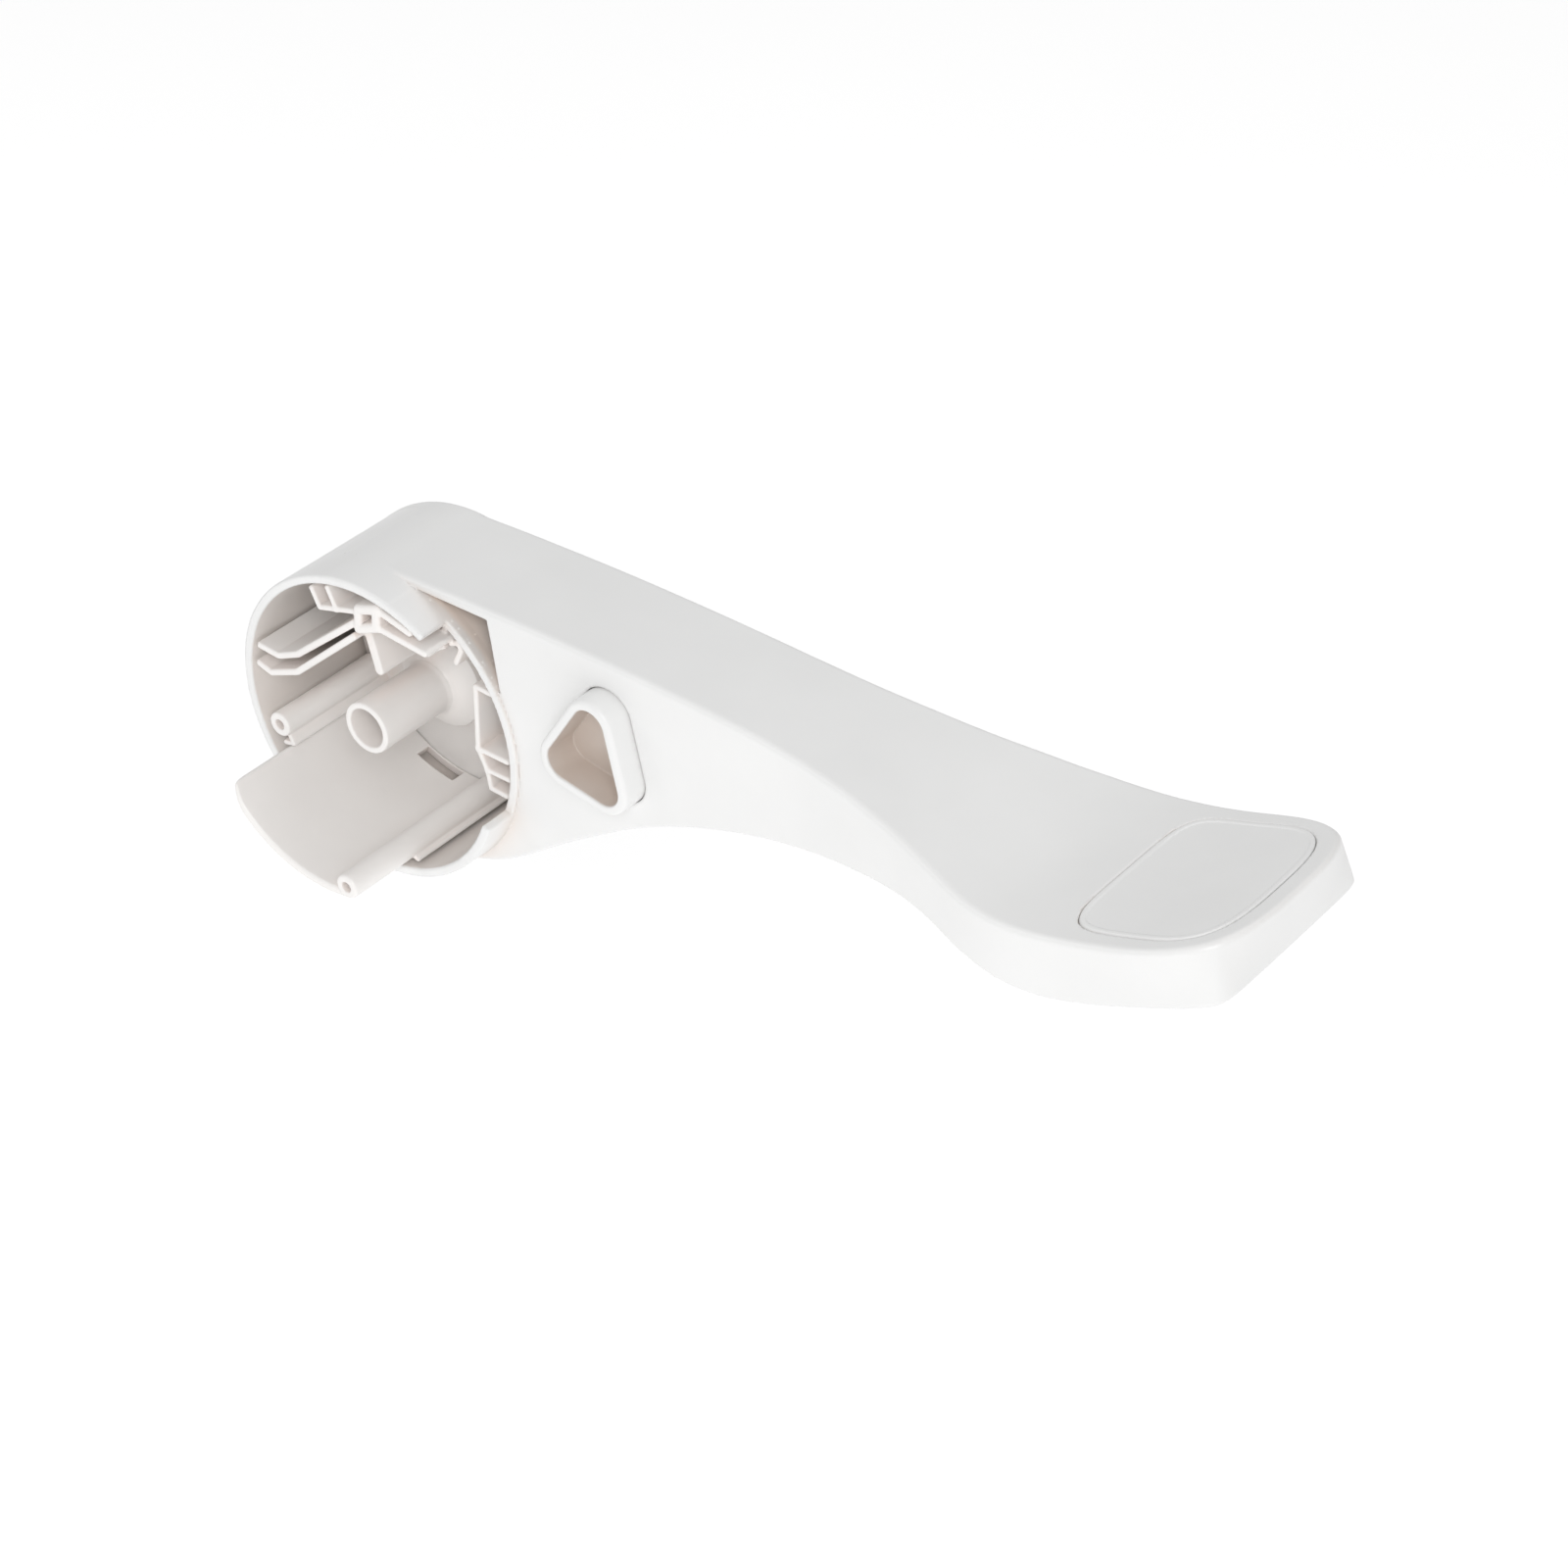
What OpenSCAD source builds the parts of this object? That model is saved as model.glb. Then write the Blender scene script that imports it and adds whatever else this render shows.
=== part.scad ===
// Stair gate latch: a lever with a round hub, a hollow arm and a dished paddle.
// X runs along the lever, -Y is the open side of the hub, +Z is up.
// The origin is on the hub's axis, in the plane of its open rim.

/* [Hub] */
// Outer radius of the drum
drum_r = 25; // [24:0.5:26]
// Thickness of the drum's wall
drum_wall = 1.5; // [1.2:0.1:1.8]
// Depth of the drum, from its open rim to its back face
drum_depth = 26.2; // [26:0.1:27]
// How far the rim is cut back beside the arm
rim_cut = 5.7; // [4:0.1:7]
// How far the drum's rim stands proud of the arm's side wall there
rim_lip = 0.6; // [0:0.1:1]
// Gap between the fixed core and the turning drum
drum_gap = 0.5; // [0.3:0.1:0.8]

/* [Arm and paddle] */
// Wall thickness of the arm
arm_wall = 1.6; // [1.2:0.1:2]
// Where the lever ends, from the hub's axis
tip_x = 148; // [146:1:150]
// Where the paddle's rounded end begins
round_x = 130; // [128:1:132]
// Half width of the paddle where the rounded end begins
paddle_half = 18.6; // [17:0.1:20]
// Squareness of the paddle's end along its top edge
tip_power = 3.1; // [2.4:0.1:4]
// Squareness of the paddle's end along its bottom edge
tip_power_low = 12; // [6:1:14]

/* [Spindle] */
// Outer radius of the spindle tube
spindle_r = 4.2; // [4:0.1:4.4]
// Radius of the bore that takes the gate's spindle
spindle_bore_r = 3.2; // [3:0.1:3.4]
// Depth of that bore
spindle_bore_depth = 20; // [16:1:21]
// Outer radius of the cup round the return spring
cup_r = 7.9; // [7.6:0.1:8.2]

/* [Tongue and bosses] */
// How far the tongue stands out in front of the rim
tongue_out = 11.8; // [8:0.2:14]
// Outer radius of the tongue
tongue_r = 22.6; // [22:0.1:22.8]
// Thickness of the tongue
tongue_t = 1.5; // [1.2:0.1:2]
// Outer radius of the screw bosses
boss_r = 2; // [1.8:0.1:2.2]
// Radius of the screw bosses' pilot holes
pilot_r = 0.85; // [0.7:0.05:1]

/* [Lock] */
// Travel of the lock knob, and so of the lock bolt
lock_travel = 3.5; // [3:0.1:3.6]
// Corner radius inside the knob's hollow front
knob_hole_r = 2.8; // [2.4:0.1:3]
// Wall of the knob
knob_wall = 1.5; // [1.2:0.1:1.6]
// Running gap round the knob and the bolt
slide_gap = 0.25; // [0.2:0.05:0.3]

/* [Hidden] */
$fn = 64;
eps = 0.01;

shell_white = [0.93, 0.93, 0.92];
core_white = [0.90, 0.88, 0.86];
steel = [0.72, 0.73, 0.75];
nylon = [0.85, 0.84, 0.80];
rubber_grey = [0.25, 0.25, 0.26];
pad_grey = [0.87, 0.87, 0.86];

// ---- Heights across the lever's width: y runs from the open side to the back
bore_r = drum_r - drum_wall;
back_y = drum_depth;
back_in = drum_depth - arm_wall;
side_y = rim_cut;
side_in = rim_cut + arm_wall;
mid_y = (side_y + back_y) / 2;
rim_cut_from = -19;
rim_cut_to = 59;

// ---- Fixed core, inside the drum
core_r = bore_r - drum_gap;
disc_y0 = 22.6;
disc_y1 = 24.1;
cup_front = 16.5;
journal_end = 27.2;
rib_t = 1.1;
rib_front = 0.6;
left_boss = 20.1 * [cos(-158.4), sin(-158.4)];
right_boss = 20.4 * [cos(-74.5), sin(-74.5)];
tongue_from = -147;
tongue_to = -79;
window_from = -115;
window_to = -95;
window_y0 = 19.4;
window_y1 = 22;

// ---- Rest stop: a pin in the lever runs in a curved slot of the core's disc
stop_r = 15;
stop_angle = 15;
lift_angle = 70;
stop_pin_r = 1.2;
stop_slot_half = 1.5;
stop_slot_from = 4;
stop_slot_to = stop_angle + lift_angle + 6;
stop_contact = stop_angle - asin((stop_pin_r + 0.05) / stop_r);

// ---- Return spring round the spindle tube
wire_r = 0.55;
coil_r = 6;
coil_y0 = 18.5;
coil_y1 = 23.1;
coil_turns = 3.25;

// ---- Pivot: bush in the drum's back wall, washer, screw and cap behind it
bush_r = 4.96;
bush_flange_r = 6.8;
bush_gap = 0.05;
washer_r = 7;
washer_hole_r = 1.7;
pivot_screw_r = 1.53;
pivot_head_r = 3.2;
pivot_head_top = journal_end + 2.3;
driver_slot_half = 0.4;
driver_slot_y = journal_end + 1.5;
cap_r = 12;
cap_wall = 1.3;

// ---- Lock
bolt_z0 = 3.5;
bolt_z1 = 7.5;
bolt_y0 = 17.75;
bolt_y1 = 20.25;
bolt_nose = 23.5;
bolt_tail = 50;
pin_x = 43;
pin_r = 1;
knob_front = 1.6;
knob_back = 14;
foot_z0 = 8;
foot_z1 = 10;
foot_end = 20.9;
knob_corners = [[42.1, 17.1], [37, 9], [44.4, 7.7]];
flange_r = knob_hole_r + knob_wall + 0.85;
detent_x = 39.4;
guide_x = [27, 32.2];
stay_x = [45.9, 47.9];

// ---- Lever outline: stations [x, height] or [x, half width]
top_line = [[0, 25], [15, 25.6], [35, 25.9], [60, 25.4], [80, 24.2], [95, 22.4],
            [109, 20.3], [118, 20.7], [130, 23.7], [148, 30.4]];
under_line = [[13, -21.4], [22, -17.5], [36, -7.6], [50, 1], [65, 6.9], [80, 10.6],
              [94, 12.8], [101, 13.1], [109, 11.8], [116, 11], [124, 12], [137, 16.7],
              [148, 21.5]];
half_line = [[-30, 10.25], [60, 10.25], [72, 10.6], [80, 11.3], [88, 12.5], [95, 14],
             [102, 16], [109, 17.9], [116, 18.7], [130, 18.6]];
line_step = 2.5;

// Slope of a station line at station i
function slope(line, i) =
    let (a = max(i - 1, 0), b = min(i + 1, len(line) - 1))
    (line[b][1] - line[a][1]) / (line[b][0] - line[a][0]);

// Station before x
function before(line, x, i = 0) =
    (i >= len(line) - 2 || x < line[i + 1][0]) ? i : before(line, x, i + 1);

// Smooth height of a station line at x
function along(line, x) =
    let (i = before(line, x),
         h = line[i + 1][0] - line[i][0],
         t = min(max((x - line[i][0]) / h, 0), 1),
         m0 = slope(line, i) * h,
         m1 = slope(line, i + 1) * h)
    line[i][1] * (1 + 2 * t) * pow(1 - t, 2) + m0 * t * pow(1 - t, 2)
    + line[i + 1][1] * t * t * (3 - 2 * t) + m1 * t * t * (t - 1);

function steps(a, b, d) = [for (i = [0 : ceil((b - a) / d)]) min(a + i * d, b)];

// Band between two station lines, moved by the given amounts, as an XZ outline
function band(line_a, lift_a, line_b, lift_b, x0, x1) = concat(
    [for (x = steps(x0, x1, line_step)) [x, along(line_a, x) + lift_a]],
    [for (x = steps(x0, x1, line_step)) let (q = x0 + x1 - x) [q, along(line_b, q) + lift_b]]);

// One quarter of a squared-off ellipse
function square_arc(a, b, p, t) =
    [a * pow(max(cos(t), 0), 2 / p), b * pow(max(sin(t), 0), 2 / p)];

// Plan outline of the lever, pulled in by inset
function plan(x0, inset) =
    let (straight = steps(x0, round_x, line_step),
         arc = [for (t = [84 : -6 : 0])
                square_arc(tip_x - round_x - inset, paddle_half - inset, tip_power, t)],
         half = concat(
             [for (x = straight) [x, along(half_line, x) - inset]],
             [for (p = arc) [round_x + p[0], p[1]]]),
         n = len(half))
    concat([for (i = [0 : n - 1]) [half[i][0], mid_y - half[i][1]]],
           [for (i = [0 : n - 2]) let (q = half[n - 2 - i]) [q[0], mid_y + q[1]]]);

// Edge of the paddle's end in a sloping plane, from its near side round to its far side
tip_taper = 1.25;
function tip_ring(p, taper, z0, z1) =
    let (long = tip_x - round_x,
         half = [for (t = [90 : -6 : 0]) square_arc(long, paddle_half, p, t)],
         n = len(half))
    [for (i = [0 : 2 * n - 2])
        let (q = half[min(i, 2 * n - 2 - i)],
             side = (i < n ? -1 : 1) * q[1] * (1 - taper / paddle_half * q[0] / long))
        [round_x + q[0], mid_y + side, z0 + (z1 - z0) * q[0] / long]];

// Outline of the grip pad: square at the hub's side, rounder at the tip
pad_x = 133.6;
pad_long = 11.2;
pad_half = 15.3;
function pad_plan(grow) = [for (t = [0 : 6 : 354])
    let (p = cos(t) < 0 ? 5 : 3.3,
         q = square_arc(pad_long + grow, pad_half + grow, p, abs(abs(t - 180) > 90
             ? (t > 180 ? 360 - t : t) : abs(180 - t))))
    [pad_x + (cos(t) < 0 ? -q[0] : q[0]), mid_y + (sin(t) < 0 ? -q[1] : q[1])]];

// Outline of round corners of radius r about the given centres, in turn
function rounded(centres, r, facets = 8) =
    let (n = len(centres))
    [for (i = [0 : n - 1])
        let (a = centres[(i + n - 1) % n], b = centres[i], c = centres[(i + 1) % n],
             from = atan2(b[1] - a[1], b[0] - a[0]) - 90,
             to = atan2(c[1] - b[1], c[0] - b[0]) - 90,
             turn = (to - from + 720) % 360)
        for (k = [0 : facets])
            b + r * [cos(from + turn * k / facets), sin(from + turn * k / facets)]];

// Extrude an XZ outline along Y
module along_y(y0, y1) {
    translate([0, y0, 0])
        rotate([90, 0, 0])
            mirror([0, 0, 1])
                linear_extrude(y1 - y0) children();
}

module rod_y(r, y0, y1, at = [0, 0]) {
    translate([at[0], 0, at[1]]) along_y(y0, y1) circle(r);
}

module tube_y(r_out, r_in, y0, y1) {
    difference() {
        rod_y(r_out, y0, y1);
        rod_y(r_in, y0 - 1, y1 + 1);
    }
}

module box(low, high) {
    translate(low) cube(high - low);
}

// Slice of pie about the hub's axis
module pie(a0, a1, r, y0, y1) {
    n = ceil((a1 - a0) / 15);
    along_y(y0, y1)
        polygon(concat([[0, 0]], [for (i = [0 : n])
            let (a = a0 + (a1 - a0) * i / n) r / cos(7.5) * [cos(a), sin(a)]]));
}

// Part of a tube between two angles
module arc_wall(r_out, r_in, a0, a1, y0, y1) {
    intersection() {
        tube_y(r_out, r_in, y0, y1);
        pie(a0, a1, r_out + 5, y0 - 1, y1 + 1);
    }
}

// Ribs that join XZ points in turn, round at their ends
module ribs(points, y0, y1, t = rib_t) {
    along_y(y0, y1)
        for (i = [0 : len(points) - 2])
            polygon(rounded([points[i], points[i + 1]], t / 2, 4));
}

// ---- Fixed to the gate ----

module spindle_and_cup() {
    rotate([-90, 0, 0])
        rotate_extrude()
            polygon([[0, 0], [spindle_r, 0], [spindle_r, cup_front - 2.5], [cup_r, cup_front],
                     [cup_r, disc_y1], [cup_r - 1, disc_y1], [cup_r - 1, cup_front + 1.2],
                     [spindle_r, cup_front + 1.2], [spindle_r, journal_end], [0, journal_end]]);
}

module left_boss_arm() {
    rod_y(boss_r, 0.2, disc_y0 + eps, left_boss);
    ribs([[-22.3, -8.2], left_boss, [-17, -10.7], [-18.7, -11.1]], 1, disc_y0 + eps, 0.8);
}

module inner_ribs() {
    ribs([[-22.1, 5.4], [-18.1, 5.1], [-14, 7], [-1.5, 17.6]], rib_front, disc_y0 + eps);
    ribs([[-22.5, 2], [-20, 1.3], [-14.4, 3.7], [-1.9, 15]], rib_front, disc_y0 + eps);
    ribs([[-9.8, 20.4], [-8.4, 17.6], [-1.5, 19.6]], rib_front, disc_y0 + eps, 0.9);
    ribs([[-6.5, 21.7], [-5, 18.6]], rib_front, disc_y0 + eps, 0.9);
    ribs([[-0.4, 20.4], [3.2, 21.7], [3, 18.6], [-0.6, 17]], rib_front - 0.3, disc_y0 + eps, 1.6);
    ribs([[3.2, 21.7], [9.4, 20.2]], rib_front, disc_y0 + eps);
    ribs([[3, 18.6], [12.2, 17.8]], rib_front, disc_y0 + eps);
    ribs([[-1.9, 15], [0, 8.4]], 3.5, disc_y0 + eps, 1.6);
}

module clip_hooks() {
    ribs([[9.3, 18.9], [11.1, 19.9], [11.5, 19], [9.9, 17.2], [10.8, 15.7], [9.1, 14.6], [7.6, 13]],
         6, disc_y0 + eps, 0.9);
    ribs([[12.4, 16.9], [13.9, 17.5], [14.3, 16.4], [13.2, 13.9]], 6, disc_y0 + eps, 0.9);
    ribs([[13.9, 17.5], [14.2, 18]], 6, disc_y0 + eps, 0.9);
}

module keeper_seat() {
    ribs([[20.4, 10.8], [16.6, 11], [16.4, 0], [22, -0.1]], 6.2, disc_y0 + eps, 0.9);
    ribs([[22.2, -3.2], [18, -3.2]], 6.2, disc_y0 + eps, 0.8);
    ribs([[16.4, 0], [18, -3.2], [18.6, -6.2], [21.6, -6.4]], 6.2, disc_y0 + eps, 0.9);
}

module hub_core() color(core_white) {
    difference() {
        union() {
            spindle_and_cup();
            tube_y(core_r - 0.1, cup_r - 0.5, disc_y0, disc_y1);
            left_boss_arm();
            inner_ribs();
            clip_hooks();
            keeper_seat();
        }
        rod_y(spindle_bore_r, -1, spindle_bore_depth);
        rod_y(pivot_screw_r + 0.02, 22, journal_end + 1);
        rod_y(pilot_r, -1, 14, left_boss);
        // seat of the spring's fixed leg
        rod_y(wire_r + 0.15, cup_front + 0.2, cup_front + 2, [coil_r, 0]);
        // screw hole behind the tongue's boss
        rod_y(1.3, disc_y0 - 1, disc_y1 + 1, right_boss);
        rod_y(2.1, disc_y1 - 0.6, disc_y1 + 1, right_boss);
        // curved slot of the rest stop
        arc_wall(stop_r + stop_slot_half, stop_r - stop_slot_half,
                 stop_slot_from, stop_slot_to, disc_y0 - 2.2, disc_y1 + 1);
        // run of the lock bolt's nose when the lever is lifted
        arc_wall(core_r + 2, 19.6, -4, 110, bolt_y0 - 0.4, bolt_y1 + 0.4);
        // nothing stands out past the core's radius
        tube_y(core_r + 8, core_r, -1, disc_y1 + 1);
        // room for the keeper
        box([17, 15.8, 0.8], [24, 22.4, 10.2]);
    }
}

module tongue_plate() {
    left = -19.1;
    corner = 4;
    intersection() {
        arc_wall(tongue_r, tongue_r - tongue_t, tongue_from, tongue_to + 3,
                 -tongue_out - 1, disc_y0 - 0.05);
        linear_extrude(60, center = true)
            polygon(rounded([[left + corner, corner - tongue_out], [30, corner - tongue_out],
                             [30, 40], [left + corner, 40]], corner));
    }
}

module locating_tongue() color(core_white) {
    difference() {
        union() {
            tongue_plate();
            rod_y(boss_r, -tongue_out - 0.2, disc_y0 - 0.05, right_boss);
            ribs([right_boss + [1, -1], [7.6, -21.2]], 1, disc_y0 - 0.05, 0.8);
        }
        rod_y(pilot_r, -tongue_out - 1, 0, right_boss);
        rod_y(pilot_r, disc_y0 - 8, disc_y0 + 1, right_boss);
        arc_wall(tongue_r + 1, tongue_r - tongue_t - 1, window_from, window_to,
                 window_y0, window_y1);
    }
}

module tongue_screws() color(steel) {
    rod_y(pilot_r - 0.02, disc_y0 - 6, disc_y1, right_boss);
    rod_y(1.9, disc_y1 - 0.55, disc_y1 + 0.3, right_boss);
}

module keeper_block() color(steel) {
    intersection() {
        difference() {
            box([17.1, 15.9, 1], [22.9, 22.3, 10]);
            box([19.6, bolt_y0 - 0.35, bolt_z0 - 0.35], [30, bolt_y1 + 0.35, bolt_z1 + 0.35]);
        }
        rod_y(core_r - 0.1, 10, 25);
    }
}

module stop_bumper() color(rubber_grey) {
    arc_wall(stop_r + stop_slot_half - 0.1, stop_r - stop_slot_half + 0.1,
             stop_slot_from + 0.3, stop_contact, disc_y0, disc_y1);
}

module thrust_washer() color(nylon) {
    tube_y(13, 8.8, disc_y1 + 0.05, back_in - 0.05);
}

// Round wire along a path that keeps a constant distance from the hub's axis
function unit(v) = v / norm(v);
module wire(path, r, sides) {
    n = len(path);
    rings = [for (i = [0 : n - 1])
        let (d = unit(path[min(i + 1, n - 1)] - path[max(i - 1, 0)]),
             side = -unit([path[i][0], 0, path[i][2]]),
             up = cross(side, d))
        for (k = [0 : sides - 1])
            path[i] + r * (cos(360 * k / sides) * side + sin(360 * k / sides) * up)];
    caps = [[for (k = [0 : sides - 1]) sides - 1 - k],
            [for (k = [0 : sides - 1]) (n - 1) * sides + k]];
    skin = [for (i = [0 : n - 2], k = [0 : sides - 1])
        let (a = i * sides + k, b = i * sides + (k + 1) % sides)
        [a, b, b + sides, a + sides]];
    polyhedron(rings, concat(caps, skin));
}

function coil_point(a, y) = [coil_r * cos(a), y, coil_r * sin(a)];

module return_spring() color(steel) {
    end = 360 * coil_turns;
    leg_0 = coil_point(0, cup_front + 0.4);
    leg_1 = coil_point(end, back_in + 1);
    coil = [for (a = [0 : 15 : end]) coil_point(a, coil_y0 + (coil_y1 - coil_y0) * a / end)];
    wire(concat([leg_0, coil_point(0, coil_y0 - 0.8)], coil,
                [coil_point(end, coil_y1 + 0.8), leg_1]), wire_r, 8);
}

module pivot_washer() color(steel) {
    tube_y(washer_r, washer_hole_r, journal_end + 0.02, journal_end + 0.8);
}

module pivot_screw() color(steel) {
    difference() {
        union() {
            rod_y(pivot_screw_r, 22.4, journal_end + 0.9);
            rod_y(pivot_head_r, journal_end + 0.82, pivot_head_top);
        }
        for (turn = [0, 90])
            rotate([0, turn, 0])
                box([1 - pivot_head_r, driver_slot_y, -driver_slot_half],
                    [pivot_head_r - 1, pivot_head_top + 1, driver_slot_half]);
    }
}

// ---- Turning with the lever ----

cover_screw_x = [60, 92, 126];
cover_t = 1.6;
screw_seat = 4.2;
pillar_r = 2.8;
cover_boss_r = 3.8;
screw_head_r = 2.3;
screw_shank_r = 0.93;

// The paddle's end: its walls run from a square bottom edge to a round top edge
module paddle_end() {
    below = 0.35;
    above = 0.2;
    low = tip_ring(tip_power_low, tip_taper, along(under_line, round_x) - below,
                   along(under_line, tip_x) - below);
    high = tip_ring(tip_power, 0, along(top_line, round_x) + above,
                    along(top_line, tip_x) + above);
    n = len(low);
    walls = [for (i = [0 : n - 1], second = [0, 1])
        let (j = (i + 1) % n) second == 0 ? [i, n + i, j] : [j, n + i, n + j]];
    polyhedron(concat(low, high),
               concat([[for (i = [0 : n - 1]) i]], [[for (i = [n - 1 : -1 : 0]) n + i]], walls));
}

module arm_solid() {
    intersection() {
        along_y(-10, 45)
            polygon(concat([[0, 0]], band(top_line, 0, under_line, 0, 13, tip_x),
                           [[13, -21.4]]));
        union() {
            linear_extrude(120, center = true)
                intersection() {
                    polygon(plan(-5, 0));
                    translate([-10, -20]) square([round_x + 10 + eps, 80]);
                }
            paddle_end();
        }
    }
    intersection() {
        along_y(side_y, back_y)
            polygon(concat([[0, 0]], [for (x = [0 : line_step : 15]) [x, along(top_line, x)]],
                           [[15, -20]]));
        linear_extrude(120, center = true) polygon(plan(-5, 0));
    }
}

module arm_hollow() {
    difference() {
        intersection() {
            along_y(-10, 45)
                polygon(band(top_line, -arm_wall, under_line, -4, 2, tip_x - arm_wall));
            linear_extrude(120, center = true) polygon(plan(2, arm_wall));
        }
        rod_y(drum_r, -1, back_y + 1);
    }
}

module screw_pillars() {
    intersection() {
        for (x = cover_screw_x)
            translate([x, mid_y, along(under_line, x) + screw_seat + 0.05])
                cylinder(r = pillar_r, h = 20);
        along_y(0, 40) polygon(band(top_line, -0.5, under_line, 0, 30, 140));
    }
}

module pad_band(depth, above) {
    along_y(-10, 45)
        polygon(band(top_line, above, top_line, -depth, 118, tip_x));
}

module lever_shell() color(shell_white) {
    spring_leg = coil_r * [cos(360 * coil_turns), sin(360 * coil_turns)];
    pin_at = stop_r * [cos(stop_angle), sin(stop_angle)];
    difference() {
        union() {
            difference() {
                union() {
                    rod_y(drum_r, 0, back_y);
                    arm_solid();
                }
                arm_hollow();
            }
            screw_pillars();
        }
        rod_y(bore_r, -1, back_in);
        // rim cut back beside the arm
        pie(rim_cut_from, rim_cut_to, 40, -1, rim_cut - rim_lip);
        // wedge-shaped opening between the drum and the side wall
        difference() {
            along_y(side_y - 1, side_in + 0.1)
                polygon([[3, 18], [3, 24.05], [20, 24.15], [20.6, 20.7], [21.9, 12], [15, 12]]);
            rod_y(drum_r, -1, back_y + 1);
        }
        // bearing, spring leg, stop pin and hub cap seat in the back wall
        rod_y(bush_r + 0.02, 10, back_y + 1);
        rod_y(wire_r + 0.15, 20, back_y + 1, spring_leg);
        rod_y(stop_pin_r + 0.01, 20, back_y - 0.5, pin_at);
        tube_y(cap_r + 0.03, cap_r - cap_wall - 0.03, back_y - 0.6, back_y + 1);
        // window for the lock bolt
        box([15, bolt_y0 - 0.35, bolt_z0 - 0.3], [28, bolt_y1 + 0.35, bolt_z1 + 0.3]);
        // opening for the lock knob
        along_y(side_y - 1, side_in + 1)
            polygon(rounded(knob_corners, knob_hole_r + knob_wall + slide_gap));
        // seat of the grip pad
        intersection() {
            pad_band(0.9, 3);
            linear_extrude(60) polygon(pad_plan(0.3));
        }
        for (x = cover_screw_x)
            translate([x, mid_y, along(under_line, x) + 1]) cylinder(r = screw_shank_r + 0.02, h = 8);
    }
}

module cover_plate() {
    difference() {
        intersection() {
            along_y(-10, 45)
                polygon(band(under_line, 0.5, under_line, 0.5 + cover_t,
                             13, tip_x - arm_wall - 0.25));
            linear_extrude(120, center = true) polygon(plan(2, arm_wall + 0.2));
        }
        rod_y(drum_r + 0.3, -1, back_y + 1);
    }
}

module underside_cover() color(shell_white) {
    difference() {
        union() {
            cover_plate();
            for (x = cover_screw_x)
                translate([x, mid_y, along(under_line, x) + 1.3])
                    cylinder(r = cover_boss_r, h = screw_seat - 1.3);
        }
        for (x = cover_screw_x)
            translate([x, mid_y, along(under_line, x) - 5]) {
                cylinder(r = screw_head_r + 0.3, h = 5 + screw_seat - 1.2);
                cylinder(r = 1.2, h = 14);
            }
    }
}

module cover_screws() color(steel) {
    for (x = cover_screw_x)
        translate([x, mid_y, along(under_line, x) + screw_seat - 1.25]) {
            difference() {
                translate([0, 0, -1.5]) cylinder(r = screw_head_r, h = 1.5);
                translate([0, 0, -2]) cylinder(r = 1, h = 1.2, $fn = 6);
            }
            translate([0, 0, -0.2]) cylinder(r = screw_shank_r, h = 5.4);
        }
}

module grip_pad() color(pad_grey) {
    intersection() {
        pad_band(0.85, 0);
        linear_extrude(60) polygon(pad_plan(0));
    }
}

module pivot_bush() color(nylon) {
    tube_y(bush_r, spindle_r + bush_gap, back_in - 0.3, back_y + 0.1);
    tube_y(bush_flange_r, spindle_r + bush_gap, back_y + 0.05, back_y + 0.8);
}

module hub_cap() color(shell_white) {
    rotate([-90, 0, 0])
        rotate_extrude()
            polygon([[0, back_y + 4.9], [0, back_y + 3.8], [8.8, back_y + 3.4],
                     [cap_r - cap_wall, back_y + 2], [cap_r - cap_wall, back_y - 0.55],
                     [cap_r, back_y - 0.55], [cap_r, back_y + 2.9],
                     [cap_r - 1.2, back_y + 4.1], [cap_r - 4, back_y + 4.6]]);
}

module stop_pin() color(steel) {
    rod_y(stop_pin_r, disc_y0 - 0.6, back_y - 0.5, stop_r * [cos(stop_angle), sin(stop_angle)]);
}

module knob_guide() color(nylon) {
    along_y(side_in + 0.1, side_in + 5.2)
        difference() {
            polygon(rounded(knob_corners, flange_r + 1));
            polygon(rounded(knob_corners, flange_r + 0.2));
        }
}

module bolt_guide() color(nylon) {
    difference() {
        union() {
            box([guide_x[0], bolt_y0 - 1.4, bolt_z0 - 1.5],
                [guide_x[1], back_in - 0.05, bolt_z1 + 1.5]);
            box([stay_x[0], knob_back + lock_travel + 0.3, bolt_z0 - 1.3],
                [stay_x[1], back_in - 0.05, bolt_z1 + slide_gap + 1.2]);
            box([guide_x[0], back_in - 1.6, bolt_z0 - 1.3],
                [stay_x[1], back_in - 0.05, foot_z0 - 0.9]);
        }
        box([20, bolt_y0 - slide_gap, bolt_z0 - slide_gap],
            [60, bolt_y1 + slide_gap, bolt_z1 + slide_gap]);
        // clear of the knob's foot
        box([35, 10, foot_z0 - 0.4], [47.3, 30, foot_z1 + 1]);
    }
}

module detent_leaf() color(steel) {
    low = bolt_z0 + 0.7;
    high = bolt_z1 - 0.7;
    box([34, back_in - 2.1, low], [45, back_in - 1.7, high]);
    box([detent_x - 1, bolt_y1 + 1.2, low], [detent_x + 1, back_in - 1.7, high]);
    translate([detent_x, bolt_y1 + 1.2, low]) cylinder(r = 1, h = high - low);
}

// ---- Lock: the knob moves along Y and its slanted slot moves the bolt along X

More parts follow.
